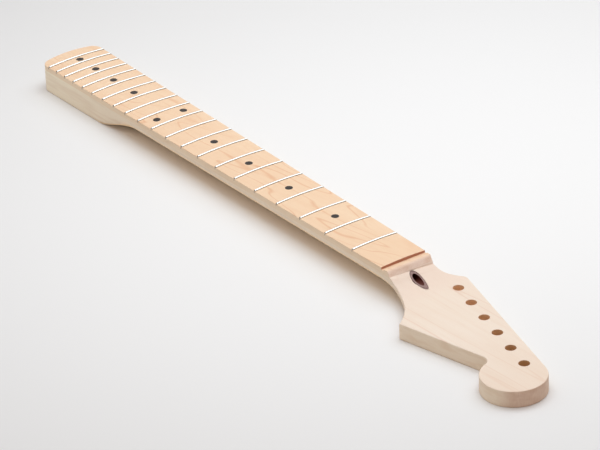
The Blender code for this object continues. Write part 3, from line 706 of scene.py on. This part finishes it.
def makeBoard():
    # the corner arc touches both the side and the end arc; a few rounds settle its middle
    corner, end = board["cornerRadius"], board["endRadius"]
    lean = atan(sideSlope())
    middleX = board["heelX"] + end
    cornerX = board["heelX"] + 10 * mm
    for _ in range(20):
        cornerY = sideY(cornerX) - corner / cos(lean)
        cornerX = middleX - sqrt((end - corner) ** 2 - cornerY ** 2)
    startAngle = pi / 2 - lean
    endAngle = atan2(cornerY, cornerX - middleX)
    farX = board["stripEnd"] + 6 * mm

    # the outline: a point drawn out along the bass side, round the heel and back
    glue = board["glue"]
    deselectAll()
    bpy.ops.mesh.primitive_plane_add(size=1 * mm, location=(farX, sideY(farX), glue))
    piece = settle(bpy.context.object, "boardWood")
    editMesh(piece)
    bpy.ops.mesh.select_all(action="SELECT")
    bpy.ops.mesh.merge(type="CENTER")
    touch = Vector((cornerX + corner * cos(startAngle), cornerY + corner * sin(startAngle), 0))
    move = touch - Vector((farX, sideY(farX), 0))
    bpy.ops.mesh.extrude_region_move(TRANSFORM_OT_translate={"value": move})
    axis = (0, 0, -1)
    bpy.ops.mesh.spin(steps=8, angle=endAngle - startAngle, center=(cornerX, cornerY, glue), axis=axis)
    bpy.ops.mesh.spin(steps=36, angle=2 * (pi - endAngle), center=(middleX, 0, glue), axis=axis)
    bpy.ops.mesh.spin(steps=8, angle=endAngle - startAngle, center=(cornerX, -cornerY, glue), axis=axis)
    bpy.ops.mesh.extrude_region_move(TRANSFORM_OT_translate={"value": (-move.x, move.y, 0)})
    bpy.ops.mesh.select_all(action="SELECT")
    bpy.ops.mesh.edge_face_add()
    bpy.ops.mesh.extrude_region_move(TRANSFORM_OT_translate={"value": (0, 0, 7 * mm)})
    endEdit()
    tidyMesh(piece)

    # the radius across the top, the nut slot and the leaning end wall
    sunk = board["crest"] - board["radius"]
    cutWith(piece, addRod((-0.1, 0, sunk), (0.5, 0, sunk), board["radius"], 512), "INTERSECT")
    slotEdges = (board["nutX"], board["nutX"] + board["slotWidth"])
    over = board["over"]
    cutWith(piece, addBox((slotEdges[0], -over, board["slotFloor"]), (slotEdges[1], over, over)))
    cutWith(piece, addBox((slotEdges[0] + 1 * mm, -over, board["stripTop"]), (0.5, over, over)))
    wall = addBox((0, -over, -over), (over, over, over))
    wall.rotation_euler = (0, -board["wallLean"], 0)
    wall.location = (board["stripEnd"], 0, board["crest"])
    cutWith(piece, settle(wall, "wall"))

    def isTopEdge(edge):
        if len(edge.link_faces) != 2:
            return False
        high, low = sorted((abs(face.normal.z) for face in edge.link_faces), reverse=True)
        ends = [vert.co for vert in edge.verts]
        if any(all(abs(point.x - x) < 0.01 * mm for point in ends) for x in slotEdges):
            return False
        if min(point.x for point in ends) > slotEdges[1] + 1 * mm:
            return False
        return high > 0.9 and low < 0.5 and min(point.z for point in ends) > board["slotFloor"]

    tidyMesh(piece)
    editMesh(piece)
    bpy.ops.mesh.select_all(action="SELECT")
    bpy.ops.mesh.dissolve_limited(angle_limit=radians(0.05))
    endEdit()

    def wallFaces(edge):
        return [face for face in edge.link_faces if 0.8 < face.normal.x < 0.95]

    def isWallTop(edge):
        return len(wallFaces(edge)) == 1 and min(vert.co.z for vert in edge.verts) > 23 * mm

    def isWallCorner(edge):
        heights = [vert.co.z for vert in edge.verts]
        return len(wallFaces(edge)) == 1 and max(heights) > 20 * mm and min(heights) < 21 * mm

    editMesh(piece, "EDGE")
    print("  wall corners", pick(piece, "edges", isWallCorner))
    bpy.ops.mesh.bevel(offset=board["cornerEdge"], segments=3, affect="EDGES", clamp_overlap=False)
    endEdit()
    editMesh(piece, "EDGE")
    print("  wall top", pick(piece, "edges", isWallTop))
    bpy.ops.mesh.bevel(offset=board["wallEdge"], segments=5, affect="EDGES", clamp_overlap=False)
    endEdit()
    editMesh(piece, "EDGE")
    print("  board edges", pick(piece, "edges", isTopEdge))
    bpy.ops.mesh.bevel(offset=board["edge"], segments=3, affect="EDGES", clamp_overlap=False)
    endEdit()
    smooth(piece)
    handOver(piece, "neck", "board_maple", boardMaple, "fingerboard")


makeBoard()
print("fingerboard made")


# frets

fretWire = {
    "width": 2.1 * mm,
    "height": 1.0 * mm,
    "sunk": 0.08 * mm,
    "inset": 0.25 * mm,
    "endBevel": radians(30),
    "endEdge": 0.12 * mm,
    "tangWidth": 0.5 * mm,
    "tangDepth": 1.6 * mm,
    "sides": 28,
    "halfLength": 31 * mm,        # of the wire that the frets are cut from
}


def makeCrown():
    # a domed wire on the board's radius, longer than any fret
    half = fretWire["width"] / 2
    reach = asin(fretWire["halfLength"] / board["radius"])
    deselectAll()
    bpy.ops.mesh.primitive_circle_add(vertices=fretWire["sides"], radius=half, fill_type="NGON",
                                      location=(0, 0, board["radius"]), rotation=(pi / 2, 0, 0))
    crown = settle(bpy.context.object, "crown")
    editMesh(crown)
    centre = board["radius"]
    pick(crown, "verts", lambda vert: vert.co.z > centre - 0.001 * mm)
    bpy.ops.transform.resize(value=(1, 1, fretWire["height"] / half), center_override=(0, 0, centre))
    bpy.ops.mesh.select_all(action="DESELECT")
    pick(crown, "verts", lambda vert: vert.co.z < centre - 0.001 * mm)
    bpy.ops.mesh.dissolve_verts()
    bpy.ops.mesh.select_all(action="SELECT")
    bpy.ops.transform.translate(value=(0, 0, -fretWire["sunk"]))
    bpy.ops.mesh.spin(steps=26, angle=2 * reach, center=(0, 0, 0), axis=(1, 0, 0))
    endEdit()
    tidyMesh(crown)
    low = min(vert.co.y for vert in crown.data.vertices)
    high = max(vert.co.y for vert in crown.data.vertices)
    crown.rotation_euler.x = -reach if abs(low) > high else reach      # the spin starts at the top
    crown.location.z = board["crest"] - board["radius"]
    return settle(crown, "crown")


def makeFrets():
    crown = makeCrown()
    for number in range(1, board["frets"] + 1):
        x = fretX(number)
        half = sideY(x)
        fret = copyOf(crown, f"fretWire{number:02d}")
        fret.location.x = x
        settle(fret, fret.name)
        lean = fretWire["endBevel"]
        for side in (-1, 1):
            editMesh(fret)
            bpy.ops.mesh.select_all(action="SELECT")
            edge = (x, side * (half - fretWire["inset"]), boardZ(half))
            bpy.ops.mesh.bisect(plane_co=edge, plane_no=(0, side * cos(lean), sin(lean)),
                                use_fill=True, clear_outer=True)
            bpy.ops.mesh.bevel(offset=fretWire["endEdge"], segments=2, affect="EDGES")
            endEdit()
        thin = fretWire["tangWidth"] / 2
        top = boardZ(half) - 0.02 * mm
        tang = addBox((x - thin, -half - 0.01 * mm, top - fretWire["tangDepth"]), (x + thin, half + 0.01 * mm, top))
        workOn(fret)
        tang.select_set(True)
        bpy.ops.object.join()
        tidyMesh(fret)
        smooth(fret, 50)
        handOver(fret, "neck", "fret_wire", fretMetal, f"fret_{number:02d}")
    bpy.data.objects.remove(crown, do_unlink=True)


makeFrets()
print("frets made")


# inlays

inlay = {
    "dot": 3.175 * mm,
    "sideDot": 1.0 * mm,
    "proud": 0.02 * mm,
    "edge": 0.05 * mm,
    "depth": 1.5 * mm,
    "sideZ": 21.7 * mm,
    "twinY": 13.2 * mm,
}


def makeDot(node, name, radius, top, out):
    disc = addRod(Vector(top) - Vector(out) * inlay["depth"], Vector(top) + Vector(out) * inlay["proud"], radius, 64)
    disc.name = name
    disc.data.name = name
    editMesh(disc, "FACE")
    pick(disc, "faces", lambda face: face.normal.dot(Vector(out)) > 0.9)
    bpy.ops.mesh.bevel(offset=inlay["edge"], segments=2, affect="EDGES")
    endEdit()
    smooth(disc, 40)
    handOver(disc, "neck", "dot_plastic", dotPlastic, node)


def makeInlays():
    for number in (3, 5, 7, 9, 15, 17, 19, 21):
        x = (fretX(number) + fretX(number - 1)) / 2
        makeDot(f"dot_{number:02d}", f"faceDot{number:02d}", inlay["dot"], (x, 0, board["crest"]), (0, 0, 1))
        makeDot(f"side_dot_{number:02d}", f"sideDot{number:02d}", inlay["sideDot"],
                (x, sideY(x), inlay["sideZ"]), (0, 1, 0))
    x = (fretX(12) + fretX(11)) / 2
    tilt = asin(inlay["twinY"] / board["radius"])
    for word, side in (("bass", 1), ("treble", -1)):
        y = side * inlay["twinY"]
        makeDot(f"dot_12_{word}", f"faceDot12{word}", inlay["dot"], (x, y, boardZ(y)), (0, side * sin(tilt), cos(tilt)))
    for word, shift in (("a", -inlay["dot"]), ("b", inlay["dot"])):
        makeDot(f"side_dot_12_{word}", f"sideDot12{word}", inlay["sideDot"],
                (x + shift, sideY(x + shift), inlay["sideZ"]), (0, 1, 0))


makeInlays()
print("inlays made")


# the wooden bush in the access bore

def makePlug():
    start, along = plugLine()
    piece = addRod(start + along * plug["from"], start + along * plug["length"], plug["outer"], 96)
    cutWith(piece, addRod(start - along * 5 * mm, start + along * (plug["length"] + 5 * mm), plug["bore"], 64))
    x, half = plug["scoopEnd"], plug["scoopHalf"]
    roll = plug["scoopRoll"] * half
    high = plug["headFace"] + plug["scoopRadius"]
    cutWith(piece, addRod((x, -half, high + roll), (x, half, high - roll), plug["scoopRadius"], 512))
    settle(piece, "plugWood")
    tidyMesh(piece)
    smooth(piece, 12)
    handOver(piece, "neck", "walnut", plugWalnut, "truss_plug")


makePlug()
print("plug made")


def dressNodes():
    finishes = {
        "neck_maple": neckMaple,
        "board_maple": boardMaple,
        "fret_wire": fretMetal,
        "dot_plastic": dotPlastic,
        "rod_steel": rodSteel,
        "block_brass": blockBrass,
        "walnut": plugWalnut,
    }
    for part in frame["record"]["subparts"]:
        node = frame["nodes"][part["node"]]
        for slot in node.material_slots:
            slot.material = finishes[part["material_slot"]]


dressNodes()
print("nodes dressed")
